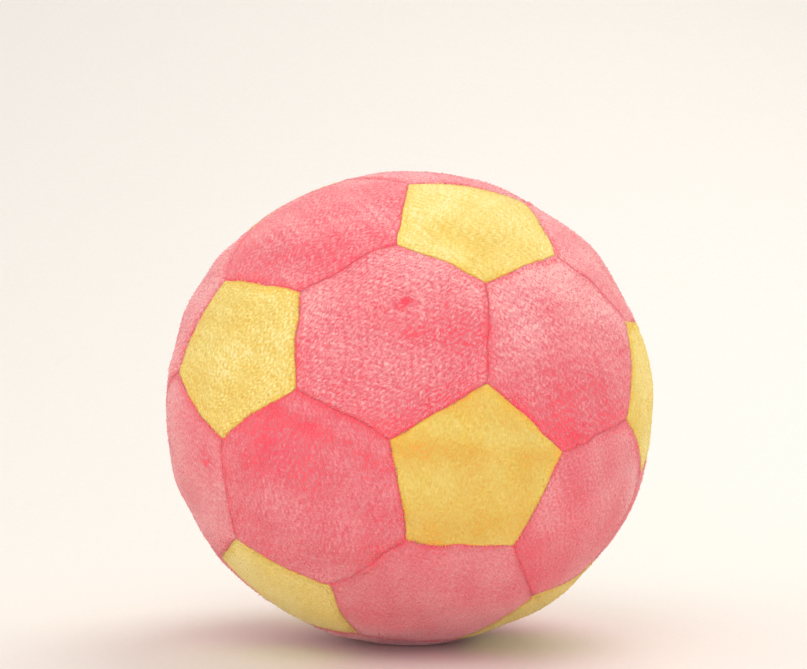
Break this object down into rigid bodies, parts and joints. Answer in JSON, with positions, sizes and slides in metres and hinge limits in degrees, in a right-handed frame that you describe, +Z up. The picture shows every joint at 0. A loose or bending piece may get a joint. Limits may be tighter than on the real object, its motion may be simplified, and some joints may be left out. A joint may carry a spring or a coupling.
{
  "type": "stuffed plush football",
  "caption": "Soft stuffed toy football: yellow five-sided and coral-pink six-sided short-pile plush panels, sewn over a fibrefill stuffing.",
  "frame": {"origin": "under the middle of the ball, on the surface that it rests on", "axes": "+Z up, -Y towards the side that shows the large yellow panel"},
  "size_m": [0.198, 0.1977, 0.1928],
  "materials": {
    "yellow_plush": "short brushed pile",
    "pink_plush": "short brushed pile",
    "seam_thread": "twisted polyester thread",
    "closing_thread": "doubled hand-sewing thread",
    "fibrefill": "loose white polyester fibre"
  },
  "bodies": {
    "root": {"pentagon_panel_01": "yellow_plush", "pentagon_panel_02": "yellow_plush", "pentagon_panel_03": "yellow_plush", "pentagon_panel_04": "yellow_plush", "pentagon_panel_05": "yellow_plush", "pentagon_panel_06": "yellow_plush", "pentagon_panel_07": "yellow_plush", "pentagon_panel_08": "yellow_plush", "pentagon_panel_09": "yellow_plush", "pentagon_panel_10": "yellow_plush", "pentagon_panel_11": "yellow_plush", "pentagon_panel_12": "yellow_plush", "hexagon_panel_01": "pink_plush", "hexagon_panel_02": "pink_plush", "hexagon_panel_03": "pink_plush", "hexagon_panel_04": "pink_plush", "hexagon_panel_05": "pink_plush", "hexagon_panel_06": "pink_plush", "hexagon_panel_07": "pink_plush", "hexagon_panel_08": "pink_plush", "hexagon_panel_09": "pink_plush", "hexagon_panel_10": "pink_plush", "hexagon_panel_11": "pink_plush", "hexagon_panel_12": "pink_plush", "hexagon_panel_13": "pink_plush", "hexagon_panel_14": "pink_plush", "hexagon_panel_15": "pink_plush", "hexagon_panel_16": "pink_plush", "hexagon_panel_17": "pink_plush", "hexagon_panel_18": "pink_plush", "hexagon_panel_19": "pink_plush", "hexagon_panel_20": "pink_plush", "seam_thread_01": "seam_thread", "seam_thread_02": "seam_thread", "seam_thread_03": "seam_thread", "seam_thread_04": "seam_thread", "seam_thread_05": "seam_thread", "seam_thread_06": "seam_thread", "seam_thread_07": "seam_thread", "seam_thread_08": "seam_thread", "seam_thread_09": "seam_thread", "seam_thread_10": "seam_thread", "seam_thread_11": "seam_thread", "seam_thread_12": "seam_thread", "closing_stitch": "closing_thread", "fibrefill_core": "fibrefill"}
  },
  "joints": []
}
